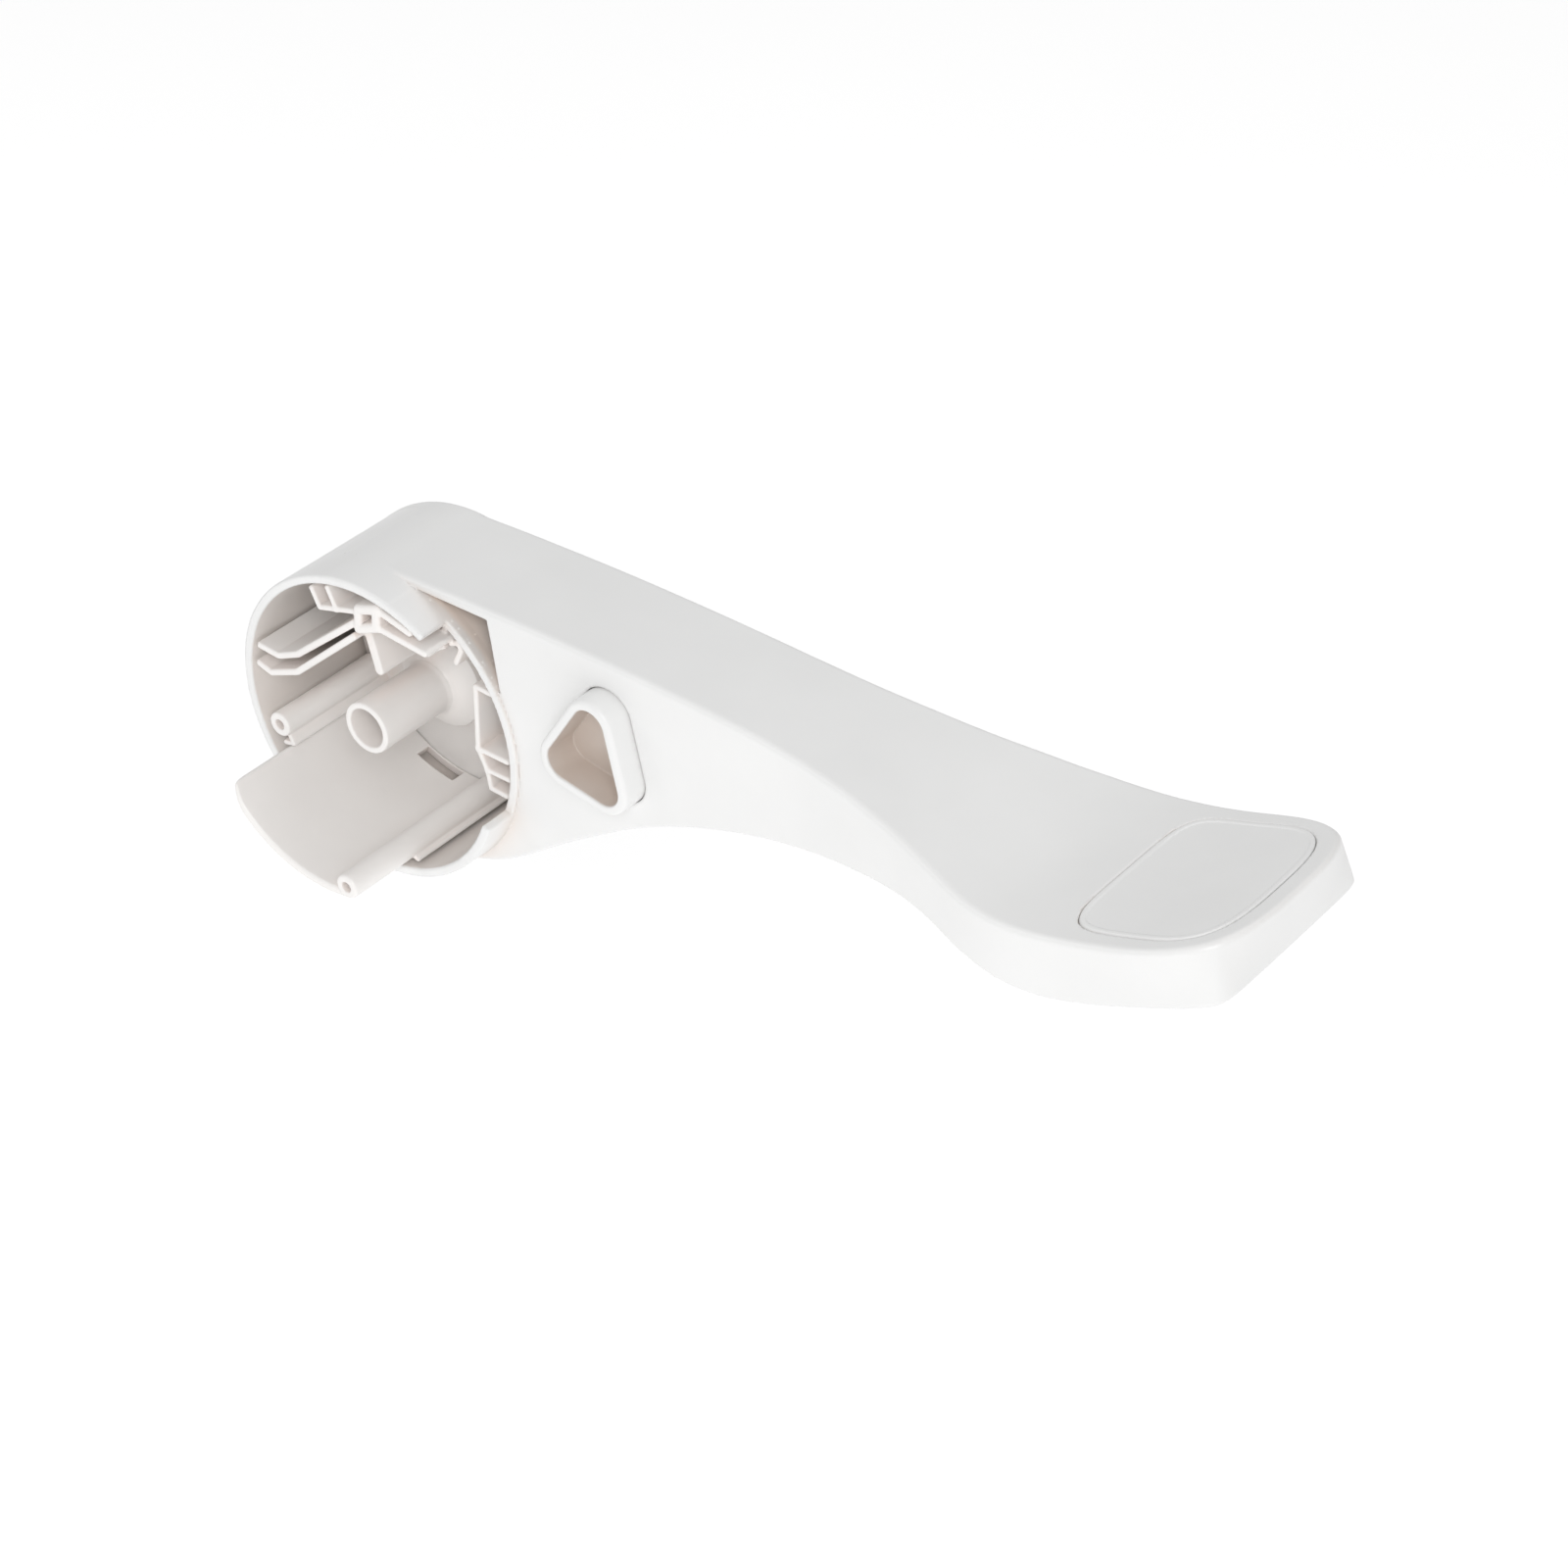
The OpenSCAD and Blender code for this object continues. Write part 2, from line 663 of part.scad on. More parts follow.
module lock_knob() color(shell_white) {
    slot_r = pin_r + 0.12;
    difference() {
        union() {
            along_y(knob_front, knob_back)
                polygon(rounded(knob_corners, knob_hole_r + knob_wall));
            along_y(side_in + 0.2, side_in + 1.2)
                polygon(rounded(knob_corners, flange_r));
            box([36.5, knob_back - 1, foot_z0], [46.5, foot_end, foot_z1]);
        }
        along_y(knob_front - 1, knob_back - 1.2) polygon(rounded(knob_corners, knob_hole_r));
        // slanted slot for the drive pin
        translate([pin_x, (bolt_y0 + bolt_y1) / 2, foot_z0 - 1]) {
            cylinder(r = slot_r, h = 5);
            translate([-lock_travel, -lock_travel, 0]) cylinder(r = slot_r, h = 5);
            rotate([0, 0, -135])
                translate([0, -slot_r, 0]) cube([lock_travel * sqrt(2), 2 * slot_r, 5]);
        }
    }
}

module lock_bolt() color(steel) {
    difference() {
        box([bolt_nose, bolt_y0, bolt_z0], [bolt_tail, bolt_y1, bolt_z1]);
        translate([pin_x, (bolt_y0 + bolt_y1) / 2, bolt_z0 - 1]) cylinder(r = pin_r + 0.01, h = 12);
        for (x = [detent_x, detent_x + lock_travel])
            translate([x, bolt_y1 + 0.7, bolt_z0 - 1]) cylinder(r = 1.1, h = 12);
    }
}

module bolt_drive_pin() color(steel) {
    translate([pin_x, (bolt_y0 + bolt_y1) / 2, bolt_z0 + 0.2])
        cylinder(r = pin_r, h = foot_z1 - bolt_z0 - 0.5);
}

hub_core();
locating_tongue();
tongue_screws();
keeper_block();
stop_bumper();
thrust_washer();
return_spring();
pivot_washer();
pivot_screw();
lever_shell();
underside_cover();
cover_screws();
grip_pad();
pivot_bush();
hub_cap();
stop_pin();
knob_guide();
bolt_guide();
detent_leaf();
lock_knob();
lock_bolt();
bolt_drive_pin();
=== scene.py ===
"""Looks of the stair gate latch. Shapes are in millimetres, in the CAD model's frame."""
import math

import bmesh
import bpy
import numpy as np
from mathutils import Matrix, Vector


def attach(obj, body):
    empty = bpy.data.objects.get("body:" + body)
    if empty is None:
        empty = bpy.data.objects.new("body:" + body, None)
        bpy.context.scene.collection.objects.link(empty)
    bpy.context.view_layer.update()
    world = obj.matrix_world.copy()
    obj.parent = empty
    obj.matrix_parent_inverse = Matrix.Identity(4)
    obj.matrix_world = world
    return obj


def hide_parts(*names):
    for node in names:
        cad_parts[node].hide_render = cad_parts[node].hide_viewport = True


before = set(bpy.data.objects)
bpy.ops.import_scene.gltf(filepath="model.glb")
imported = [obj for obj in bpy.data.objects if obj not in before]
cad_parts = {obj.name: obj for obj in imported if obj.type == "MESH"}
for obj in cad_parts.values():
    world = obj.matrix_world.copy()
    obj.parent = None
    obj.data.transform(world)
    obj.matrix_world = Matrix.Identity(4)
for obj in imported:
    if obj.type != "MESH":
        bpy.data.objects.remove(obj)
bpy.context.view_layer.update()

MM = 0.001
COARSE = 1.0

# In a thinned mesh, edges under SLIVER are closed up and vertices move SETTLE_REACH at most
SLIVER = 0.04
SETTLE_REACH = 0.08


def polar(r, degrees):
    return (r * math.cos(math.radians(degrees)), r * math.sin(math.radians(degrees)))


# ---- The latch's own sizes, as in the CAD model: y runs from the open side to the back ----

# Drum and arm. SIDE and BACK are the arm's two side faces, and pairs are (from, to)
DRUM_R = 25.0
BORE_R = 23.5
SIDE = 5.7
BACK = 26.2
MID = (SIDE + BACK) / 2
WALL = 1.6
SIDE_IN = SIDE + WALL
BACK_IN = BACK - WALL
RIM_LIP = 0.6
RIM_CUT = (-19, 59)
WEDGE = [(3, 24.05), (20, 24.15), (20.6, 20.7), (21.9, 12)]
WEDGE_LOW = 12

# Lines along the lever: (x, z) of its top and its underside, (x, half width) of its plan
TOP_LINE = [(0, 25), (15, 25.6), (35, 25.9), (60, 25.4), (80, 24.2), (95, 22.4),
            (109, 20.3), (118, 20.7), (130, 23.7), (148, 30.4)]
UNDER_LINE = [(13, -21.4), (22, -17.5), (36, -7.6), (50, 1), (65, 6.9), (80, 10.6),
              (94, 12.8), (101, 13.1), (109, 11.8), (116, 11), (124, 12), (137, 16.7),
              (148, 21.5)]
HALF_LINE = [(-30, 10.25), (60, 10.25), (72, 10.6), (80, 11.3), (88, 12.5), (95, 14),
             (102, 16), (109, 17.9), (116, 18.7), (130, 18.6)]

# Paddle: its end is squared off from ROUND to TIP, more so at the bottom than at the top
ROUND = 130.0
TIP = 148.0
PADDLE_HALF = 18.6
TIP_POWER = 3.1
TIP_POWER_LOW = 12.0
TIP_TAPER = 1.25
PAD_X = 133.6
PAD_LONG = 11.2
PAD_HALF = 15.3
PAD_DEEP = 0.84
PAD_POWER_HUB = 5.0
PAD_POWER_TIP = 3.3
BEAD_ACROSS = (-0.8, -0.08)
BEAD_UP = (-0.4, 0.12)

# Underside cover and its screws. COVER is its two faces, measured from the lever's underside
COVER = (-2.1, -0.5)
COVER_BOSS_R = 3.8
SCREW_X = (60, 92, 126)
SCREW_SEAT = 4.2
SCREW_HOLE_R = 1.2
SCREW_HEAD_ROOM_R = 2.6
SCREW_SUNK = 3.0
PILLAR_R = 2.8
PILLAR_PILOT_R = 0.95
PILLAR_PILOT_LONG = 4.6

# Bush and cap at the drum's back
BUSH_HOLE_R = 4.98
CAP_R = 12.0
CAP_WALL = 1.3
CAP_RISE = 4.9
CAP_FALL = 2.2

# Knob, with the foot and the slanted slot that drive the bolt
KNOB_CORNERS = [(42.1, 17.1), (37, 9), (44.4, 7.7)]
KNOB_HOLE_R = 2.8
KNOB_WALL = 1.5
KNOB_FRONT = 1.6
KNOB_BACK = 14.0
KNOB_R = KNOB_HOLE_R + KNOB_WALL
FLANGE_R = KNOB_R + 0.85
FOOT_X = (36.5, 46.5)
FOOT_Z = (8, 10)
FOOT_END = 20.9
LOCK_TRAVEL = 3.5
DRIVE_PIN = (43, 19)
DRIVE_SLOT_R = 1.12
BOLT_WINDOW = ((15, 28), (17.4, 20.6), (3.2, 7.8))

# Hub core: disc, spindle tube, spring cup, left boss, and the room that moving pieces need
DISC = (22.6, 24.1)
CORE_R = 23.0
SPINDLE_R = 4.2
SPINDLE_BORE_R = 3.2
SPINDLE_BORE_END = 20
JOURNAL_END = 27.2
PIVOT_SCREW_R = 1.55
CUP_R = 7.9
CUP_BORE_R = 6.9
CUP_FROM = 14.0
CUP_CONE = 2.5
CUP_FLOOR = 17.7
STOP_R = 15
STOP_SLOT_HALF = 1.5
STOP_SLOT = (4, 91)
NOSE_RUN_R = 19.6
NOSE_RUN_Y = (17.35, 20.65)
NOSE_RUN = (-4, 110)
KEEPER_FROM = 17
KEEPER_Y = (15.8, 22.4)
KEEPER_Z = (0.8, 10.2)
LEFT_BOSS = polar(20.1, -158.4)
RIGHT_BOSS = polar(20.4, -74.5)
BOSS_R = 2.0
PILOT_R = 0.85
PILOT_END = 14
TONGUE_SCREW_R = 1.3
RIB_T = 1.1

# Tongue, with the right-hand boss
TONGUE_R = 22.6
TONGUE_T = 1.5
TONGUE_OUT = 11.8
TONGUE_LEFT = -19.1
TONGUE_CORNER = 4
TONGUE_SPAN = (-147, -76)
TONGUE_END = DISC[0] - 0.05
TONGUE_SCREW_LONG = 8
WEB_END = (7.6, -21.2)
WINDOW_R = 18
WINDOW_SPAN = (-115, -95)
WINDOW_Y = (19.4, 22)

# Ribs of the hub core: points joined in turn, front edge, thickness and edge radius
CORE_RIBS = (
    ([(-22.1, 5.4), (-18.1, 5.1), (-14, 7), (-1.5, 17.6)], 0.6, RIB_T, 0.3),
    ([(-22.5, 2), (-20, 1.3), (-14.4, 3.7), (-1.9, 15)], 0.6, RIB_T, 0.3),
    ([(-9.8, 20.4), (-8.4, 17.6), (-1.5, 19.6)], 0.6, 0.9, 0.3),
    ([(-6.5, 21.7), (-5, 18.6)], 0.6, 0.9, 0.3),
    ([(-0.4, 20.4), (3.2, 21.7), (3, 18.6), (-0.6, 17), (-0.4, 20.4)], 0.3, 1.6, 0.6),
    ([(3.2, 21.7), (9.4, 20.2)], 0.6, RIB_T, 0.3),
    ([(3, 18.6), (12.2, 17.8)], 0.6, RIB_T, 0.3),
    ([(-1.9, 15), (0, 8.4)], 3.5, 1.6, 0.3),
    ([(9.3, 18.9), (11.1, 19.9), (11.5, 19), (9.9, 17.2), (10.8, 15.7), (9.1, 14.6),
      (7.6, 13)], 6, 0.9, 0.3),
    ([(12.4, 16.9), (13.9, 17.5), (14.3, 16.4), (13.2, 13.9)], 6, 0.9, 0.3),
    ([(13.9, 17.5), (14.2, 18)], 6, 0.9, 0.3),
    ([(20.4, 10.8), (16.6, 11), (16.4, 0), (22, -0.1)], 6.2, 0.9, 0.3),
    ([(22.2, -3.2), (18, -3.2)], 6.2, 0.8, 0.3),
    ([(16.4, 0), (18, -3.2), (18.6, -6.2), (21.6, -6.4)], 6.2, 0.9, 0.3),
    ([(-22.3, -8.2), LEFT_BOSS, (-17, -10.7), (-18.7, -11.1)], 1, 0.8, 0.25))


# ---- Distance fields: negative inside, in millimetres ----

def along(line, x):
    """Height and slope of a smooth line through the stations."""
    px = np.array([p[0] for p in line], float)
    pz = np.array([p[1] for p in line], float)
    m = np.empty(len(line))
    m[1:-1] = (pz[2:] - pz[:-2]) / (px[2:] - px[:-2])
    m[0] = (pz[1] - pz[0]) / (px[1] - px[0])
    m[-1] = (pz[-1] - pz[-2]) / (px[-1] - px[-2])
    i = np.clip(np.searchsorted(px, x, side="right") - 1, 0, len(line) - 2)
    h = px[i + 1] - px[i]
    t = np.clip((x - px[i]) / h, 0, 1)
    a, b, c, d = pz[i], pz[i + 1], m[i] * h, m[i + 1] * h
    z = (a * (1 + 2 * t) * (1 - t) ** 2 + c * t * (1 - t) ** 2
         + b * t * t * (3 - 2 * t) + d * t * t * (t - 1))
    dz = (6 * a * t * (t - 1) + c * (1 - t) * (1 - 3 * t)
          + 6 * b * t * (1 - t) + d * t * (3 * t - 2)) / h
    return z, dz


def all_of(fields):
    """Inside every field, with sharp edges."""
    inside = fields[0]
    for field in fields[1:]:
        inside = np.maximum(inside, field)
    return inside


def both(a, b, r=0.0):
    """Inside a and b, with a rounded edge of radius r."""
    if r <= 0:
        return np.maximum(a, b)
    return (np.minimum(-r, np.maximum(a, b))
            + np.hypot(np.maximum(a + r, 0), np.maximum(b + r, 0)))


def either(a, b, r=0.0):
    """Inside a or b, with a fillet of radius r."""
    return -both(-a, -b, r)


def cut(a, b, r=0.0):
    """Inside a and outside b, with a rounded edge of radius r."""
    return both(a, -b, r)


def slab(v, low, high):
    """Inside the two planes v = low and v = high."""
    return np.abs(v - (low + high) / 2) - (high - low) / 2


def disc(x, z, r, at=(0.0, 0.0)):
    return np.hypot(x - at[0], z - at[1]) - r


def ring_band(x, z, r_in, r_out):
    """Inside the wall between two radii about the hub's axis."""
    return slab(np.hypot(x, z), r_in, r_out)


def rod(x, y, z, r, y0, y1, at=(0.0, 0.0), edge=0.2):
    """Inside a round rod along y."""
    return both(disc(x, z, r, at), slab(y, y0, y1), edge)


def segment(x, z, p, q):
    """Distance from the straight line between two points."""
    dx, dz = q[0] - p[0], q[1] - p[1]
    t = np.clip(((x - p[0]) * dx + (z - p[1]) * dz) / (dx * dx + dz * dz), 0, 1)
    return np.hypot(x - p[0] - t * dx, z - p[1] - t * dz)


def path(x, z, points, thick):
    """Inside a wall that follows the points."""
    d = segment(x, z, points[0], points[1])
    for p, q in zip(points[1:-1], points[2:]):
        d = np.minimum(d, segment(x, z, p, q))
    return d - thick / 2


def half_plane(x, z, p, q):
    """Positive on the left of the way from p to q."""
    dx, dz = q[0] - p[0], q[1] - p[1]
    return (dx * (z - p[1]) - dz * (x - p[0])) / math.hypot(dx, dz)


def convex(x, z, points):
    """Distance from a convex outline, whose points run anticlockwise."""
    ring = list(zip(points, points[1:] + points[:1]))
    inside = np.maximum.reduce([-half_plane(x, z, p, q) for p, q in ring])
    edge = np.minimum.reduce([segment(x, z, p, q) for p, q in ring])
    return np.where(inside < 0, inside, edge)


def sector(x, z, a0, a1):
    """Inside the angle from a0 to a1 degrees about the hub's axis."""
    c0, s0 = polar(1, a0)
    c1, s1 = polar(1, a1)
    return np.maximum(s0 * x - c0 * z, c1 * z - s1 * x)


def knob_outline(x, z, r):
    return convex(x, z, KNOB_CORNERS) - r


def squared(u, v, long, half, power):
    """Distance from a squared-off ellipse; u and v run from 0 to 1 along its half axes."""
    norm = np.maximum(u ** power + v ** power, 1e-9) ** (1 / power)
    grad = np.hypot(u ** (power - 1) / long, v ** (power - 1) / half)
    grad = grad / np.maximum(norm, 1e-6) ** (power - 1)
    return (norm - 1) / np.maximum(grad, 1e-3)


def lever_sides(x, y, power=TIP_POWER, taper=0.0):
    """Distance from the lever's plan outline."""
    half, slope = along(HALF_LINE, np.minimum(x, ROUND))
    straight = (np.abs(y - MID) - half) / np.sqrt(1 + slope ** 2)
    u = np.maximum(x - ROUND, 0) / (TIP - ROUND)
    width = PADDLE_HALF - taper * np.minimum(u, 1)
    end = squared(u, np.abs(y - MID) / width, TIP - ROUND, PADDLE_HALF, power)
    return np.where(x < ROUND, straight, end)


def lever_outside(x, y, z):
    """Distance from the lever's sides, whose end is rounder at the top than at the bottom."""
    base = np.interp(x, (ROUND, TIP), END_BOTTOM)
    rise = np.clip((z - base) / (np.interp(x, (ROUND, TIP), END_TOP) - base), 0, 1)
    low = lever_sides(x, y, TIP_POWER_LOW, TIP_TAPER)
    return low + rise * (lever_sides(x, y) - low)


def lever_top(x, z):
    height, slope = along(TOP_LINE, x)
    over = np.maximum(x - TIP, 0) * TOP_SLOPE_END
    return (z - height - over) / np.sqrt(1 + slope ** 2)


TOP_SLOPE_END = (TOP_LINE[-1][1] - TOP_LINE[-2][1]) / (TOP_LINE[-1][0] - TOP_LINE[-2][0])


def lever_under(x, z):
    height, slope = along(UNDER_LINE, x)
    left = np.maximum(UNDER_LINE[0][0] - x, 0) * 1.2
    return (height + left - z) / np.sqrt(1 + slope ** 2)


END_BOTTOM = [float(along(UNDER_LINE, np.array(x))[0]) - 0.35 for x in (ROUND, TIP)]
END_TOP = [float(along(TOP_LINE, np.array(x))[0]) + 0.2 for x in (ROUND, TIP)]


def pad_outline(x, y):
    """The grip pad's outline: square towards the hub, rounder at the tip."""
    power = np.where(x < PAD_X, PAD_POWER_HUB, PAD_POWER_TIP)
    u = np.abs(x - PAD_X) / PAD_LONG
    v = np.abs(y - MID) / PAD_HALF
    return squared(u, v, PAD_LONG, PAD_HALF, power)


def screw_z(x):
    """Height of the lever's underside at a cover screw."""
    return float(along(UNDER_LINE, np.array(float(x)))[0])


def lever_field(x, y, z):
    top = lever_top(x, z)
    drum_disc = disc(x, z, DRUM_R)
    arm = both(both(top, lever_outside(x, y, z), 0.9), lever_under(x, z), 0.7)
    arm = np.maximum(arm, -x)
    drum = both(drum_disc, slab(y, 0, BACK), 0.45)
    rim = np.maximum(sector(x, z, *RIM_CUT), y - (SIDE - RIM_LIP))
    outer = either(cut(drum, rim, 0.35), arm)
    hollow = both(both(top + WALL, lever_sides(x, y) + WALL, 1.2), -drum_disc, 0.4)
    shell = cut(outer, hollow, 0.25)
    for sx in SCREW_X:
        seat = screw_z(sx) + SCREW_SEAT + 0.05
        r = np.hypot(x - sx, y - MID)
        pillar = np.maximum(r - PILLAR_R, seat - z)
        shell = either(shell, np.maximum(pillar, top + 0.5), 0.5)
        pilot = np.maximum(r - PILLAR_PILOT_R, slab(z, seat - 3, seat + PILLAR_PILOT_LONG))
        shell = cut(shell, pilot, 0.1)
    bore = np.maximum(disc(x, z, BORE_R), y - BACK_IN)
    shell = cut(shell, bore, 0.4)
    wedge = [half_plane(x, z, p, q) for p, q in zip(WEDGE, WEDGE[1:])]
    wedge += [-drum_disc, y - SIDE_IN - 0.15, WEDGE_LOW - z]
    shell = cut(shell, all_of(wedge), 0.22)
    knob_opening = np.maximum(knob_outline(x, z, KNOB_R + 0.1), y - SIDE_IN - 0.6)
    shell = cut(shell, knob_opening, 0.3)
    pad_seat = both(pad_outline(x, y) - 0.08, -(top + PAD_DEEP + 0.06), 0.1)
    shell = cut(shell, pad_seat, 0.25)
    shell = cut(shell, rod(x, y, z, BUSH_HOLE_R, 20, 40), 0.2)
    cap_groove = np.maximum(ring_band(x, z, CAP_R - CAP_WALL - 0.03, CAP_R + 0.03),
                            BACK - 0.6 - y)
    shell = cut(shell, cap_groove, 0.15)
    bolt_window = all_of([slab(v, *span) for v, span in zip((x, y, z), BOLT_WINDOW)])
    return cut(shell, bolt_window, 0.2)


def cover_field(x, y, z):
    plate = both(slab(lever_under(x, z), *COVER), lever_sides(x, y) + WALL + 0.2, 0.3)
    plate = cut(plate, disc(x, z, DRUM_R + 0.3), 0.3)
    for sx in SCREW_X:
        base = screw_z(sx)
        r = np.hypot(x - sx, y - MID)
        cup = both(r - COVER_BOSS_R, slab(z, base + 1.3, base + SCREW_SEAT), 0.3)
        plate = either(plate, cup, 0.4)
        head_room = np.maximum(r - SCREW_HEAD_ROOM_R, z - base - SCREW_SUNK)
        plate = cut(plate, head_room, 0.25)
        plate = cut(plate, r - SCREW_HOLE_R, 0.1)
    return plate


def pad_field(x, y, z):
    top = lever_top(x, z)
    outline = pad_outline(x, y)
    inlay = both(outline, slab(top, -PAD_DEEP, 0), 0.25)
    bead = both(slab(outline, *BEAD_ACROSS), slab(top, *BEAD_UP), 0.14)
    return either(inlay, bead, 0.12)


def knob_field(x, y, z):
    outline = knob_outline(x, z, 0)
    body = both(outline - KNOB_R, slab(y, KNOB_FRONT, KNOB_BACK), 0.7)
    hollow = np.maximum(outline - KNOB_HOLE_R, y - (KNOB_BACK - 1.2))
    body = cut(body, hollow, 0.3)
    flange = both(outline - FLANGE_R, slab(y, SIDE_IN + 0.2, SIDE_IN + 1.2), 0.2)
    body = either(body, flange, 0.2)
    foot = both(both(slab(x, *FOOT_X), slab(y, KNOB_BACK - 1, FOOT_END), 0.3),
                slab(z, *FOOT_Z), 0.2)
    body = either(body, foot, 0.3)
    pin_pushed = (DRIVE_PIN[0] - LOCK_TRAVEL, DRIVE_PIN[1] - LOCK_TRAVEL)
    slot = segment(x, y, DRIVE_PIN, pin_pushed) - DRIVE_SLOT_R
    return cut(body, slot, 0.1)


def cap_field(x, y, z):
    r = np.hypot(x, z)
    dome = BACK + CAP_RISE - CAP_FALL * (r / CAP_R) ** 4
    skirt = both(both(r - CAP_R, y - dome, 0.9), BACK - 0.55 - y, 0.15)
    inner = both(r - (CAP_R - CAP_WALL), y - (dome - 1.1), 0.5)
    return cut(skirt, inner, 0.2)


def core_field(x, y, z):
    r = np.hypot(x, z)
    plate = both(ring_band(x, z, CUP_R - 0.5, CORE_R - 0.1), slab(y, *DISC), 0.2)
    cone = SPINDLE_R + np.clip((y - CUP_FROM) / CUP_CONE, 0, 1) * (CUP_R - SPINDLE_R)
    tube = both(r - SPINDLE_R, slab(y, 0, JOURNAL_END), 0.35)
    cup = both(r - cone, slab(y, CUP_FROM, DISC[1]), 0.2)
    spring_room = both(ring_band(x, z, SPINDLE_R, CUP_BORE_R), slab(y, CUP_FLOOR, 30), 0.2)
    cup = cut(cup, spring_room, 0.2)
    body = either(either(tube, cup, 0.9), plate, 0.4)
    rib_end = DISC[0] + 0.3
    for points, front, thick, edge in CORE_RIBS:
        rib = both(path(x, z, points, thick), slab(y, front, rib_end), edge)
        body = either(body, rib, 0.35)
    body = either(body, rod(x, y, z, BOSS_R, 0.2, rib_end, LEFT_BOSS, 0.3), 0.35)
    boss_pilot = np.maximum(disc(x, z, PILOT_R, LEFT_BOSS), slab(y, -1, PILOT_END))
    body = cut(body, boss_pilot, 0.15)
    body = cut(body, np.maximum(r - SPINDLE_BORE_R, y - SPINDLE_BORE_END), 0.3)
    body = cut(body, np.maximum(disc(x, z, PIVOT_SCREW_R), 22 - y), 0.1)
    nose_run = all_of([NOSE_RUN_R - r, slab(y, *NOSE_RUN_Y), sector(x, z, *NOSE_RUN)])
    body = cut(body, nose_run, 0.2)
    stop_slot = all_of([np.abs(r - STOP_R) - STOP_SLOT_HALF, sector(x, z, *STOP_SLOT), 20.4 - y])
    body = cut(body, stop_slot, 0.15)
    body = cut(body, rod(x, y, z, TONGUE_SCREW_R, 20, 26, RIGHT_BOSS, 0), 0.1)
    keeper_room = all_of([KEEPER_FROM - x, slab(y, *KEEPER_Y), slab(z, *KEEPER_Z)])
    body = cut(body, keeper_room, 0.15)
    return both(body, r - CORE_R, 0.15)


def tongue_field(x, y, z):
    corner = np.hypot(np.maximum(TONGUE_LEFT + TONGUE_CORNER - x, 0),
                      np.maximum(TONGUE_CORNER - TONGUE_OUT - y, 0)) - TONGUE_CORNER
    arc = both(ring_band(x, z, TONGUE_R - TONGUE_T, TONGUE_R), sector(x, z, *TONGUE_SPAN), 0.5)
    sheet = both(both(arc, slab(y, -TONGUE_OUT, TONGUE_END), 0.6), corner, 0.6)
    boss = rod(x, y, z, BOSS_R, -TONGUE_OUT - 0.2, TONGUE_END, RIGHT_BOSS, 0.45)
    body = either(sheet, boss, 0.6)
    web_start = (RIGHT_BOSS[0] + 1, RIGHT_BOSS[1] - 1)
    web = both(path(x, z, [web_start, WEB_END], 0.8), slab(y, 1, TONGUE_END), 0.2)
    body = either(body, web, 0.3)
    pilot = disc(x, z, PILOT_R, RIGHT_BOSS)
    body = cut(body, np.maximum(pilot, y), 0.2)
    body = cut(body, np.maximum(pilot, DISC[0] - TONGUE_SCREW_LONG - y), 0.1)
    window = all_of([sector(x, z, *WINDOW_SPAN), slab(y, *WINDOW_Y), -disc(x, z, WINDOW_R)])
    return cut(body, window, 0.2)


# ---- Meshes from fields ----

def slope_of(field, p, h):
    """Field value and slope at points p."""
    g = np.empty_like(p)
    for k in range(3):
        a, b = p.copy(), p.copy()
        a[:, k] += h
        b[:, k] -= h
        g[:, k] = (field(*a.T) - field(*b.T)) / (2 * h)
    return field(*p.T), g


def net(field, low, high, cell):
    """Vertices and quads of the field's zero surface, by surface nets."""
    ax = [np.arange(low[k], high[k] + cell, cell) for k in range(3)]
    grid = np.ix_(*ax)
    d = np.asarray(field(*grid), np.float32)
    d = np.ascontiguousarray(np.broadcast_to(d, [len(a) for a in ax]))
    inside = d < 0
    corners = [(i, j, k) for i in (0, 1) for j in (0, 1) for k in (0, 1)]
    n = [len(a) - 1 for a in ax]
    some = np.zeros(n, bool)
    every = np.ones(n, bool)
    for i, j, k in corners:
        part = inside[i:i + n[0], j:j + n[1], k:k + n[2]]
        some |= part
        every &= part
    cells = np.argwhere(some & ~every)
    value = {c: d[cells[:, 0] + c[0], cells[:, 1] + c[1], cells[:, 2] + c[2]] for c in corners}
    total = np.zeros((len(cells), 3))
    count = np.zeros(len(cells))
    for a in corners:
        for k in range(3):
            if a[k]:
                continue
            b = tuple(1 if m == k else a[m] for m in range(3))
            va, vb = value[a], value[b]
            cross = (va < 0) != (vb < 0)
            t = np.where(cross, va / np.where(cross, va - vb, 1), 0)
            spot = np.array(a, float)[None, :] + t[:, None] * np.eye(3)[k]
            total += spot * cross[:, None]
            count += cross
    verts = np.array(low)[None, :] + cell * (cells + total / count[:, None])
    index = np.full(n, -1, np.int32)
    index[tuple(cells.T)] = np.arange(len(cells))
    quads = []
    for k in range(3):
        u, v = (k + 1) % 3, (k + 2) % 3
        low_side = [slice(None)] * 3
        high_side = [slice(None)] * 3
        low_side[k], high_side[k] = slice(0, n[k]), slice(1, n[k] + 1)
        first, second = inside[tuple(low_side)], inside[tuple(high_side)]
        edges = np.argwhere(first != second)
        keep = (edges[:, u] > 0) & (edges[:, v] > 0) & (edges[:, u] < n[u]) & (edges[:, v] < n[v])
        edges = edges[keep]
        out = first[tuple(edges.T)]
        ring = []
        for du, dv in ((0, 0), (1, 0), (1, 1), (0, 1)):
            e = edges.copy()
            e[:, u] -= du
            e[:, v] -= dv
            ring.append(index[tuple(e.T)])
        ring = np.stack(ring, 1)
        quads.append(np.where(out[:, None], ring, ring[:, ::-1]))
    return verts, np.concatenate(quads)


